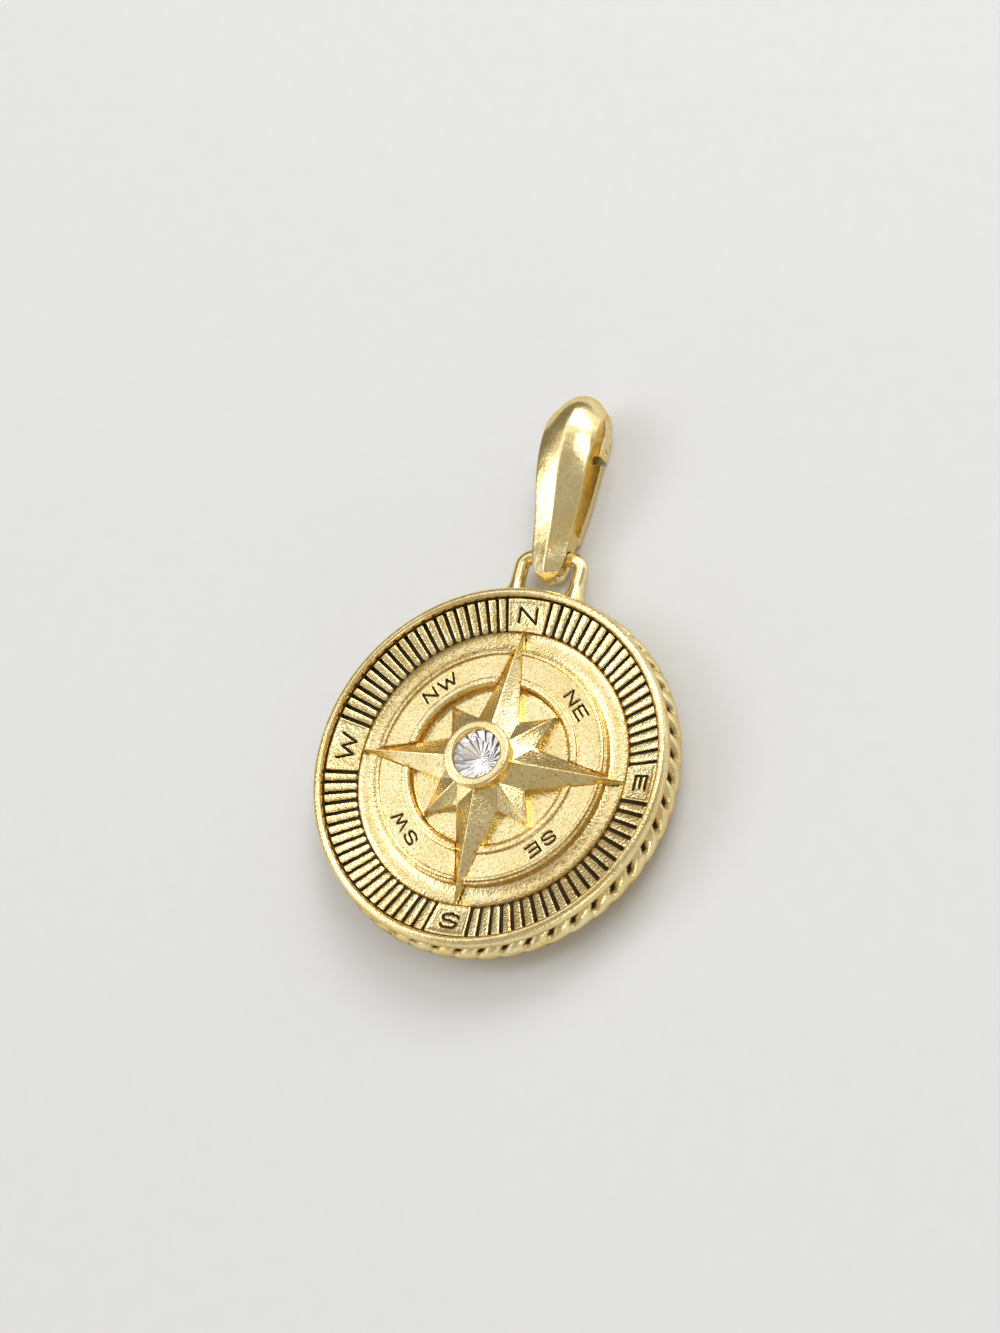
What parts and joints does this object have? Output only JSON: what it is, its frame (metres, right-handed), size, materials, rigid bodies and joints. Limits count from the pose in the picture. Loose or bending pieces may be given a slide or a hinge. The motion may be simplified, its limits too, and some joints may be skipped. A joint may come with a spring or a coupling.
{
  "type": "compass pendant",
  "caption": "Round cast medal with a rope edge, a raised compass star, a bezel-set stone and a ridged bail that opens at the back by a hinged gate.",
  "frame": {"origin": "centre of the medal's flat back face", "axes": "+Z out of the back face towards the star and the stone, +Y towards the north mark, the loop and the bail"},
  "size_m": [0.0254, 0.0401, 0.0055],
  "materials": {
    "gold": "cast yellow gold, polished edges, satin floors, darkened recesses",
    "stone": "clear faceted brilliant"
  },
  "bodies": {
    "medallion": {"medal_case": "gold", "rope_edge": "gold", "compass_star": "gold", "center_stone": "stone"},
    "bail": {"bail": "gold", "hinge_pin": "gold"},
    "gate": {"bail_gate": "gold"}
  },
  "joints": [
    {"name": "bail_swing", "type": "hinge", "parent": "medallion", "child": "bail", "pos_m": [0, 0.01565, 0.00135], "axis": [1, 0, 0], "range_deg": [-90, 100]},
    {"name": "gate_swing", "type": "hinge", "parent": "bail", "child": "gate", "pos_m": [0, 0.02405, 0.00062], "axis": [1, 0, 0], "range_deg": [0, 45]}
  ]
}
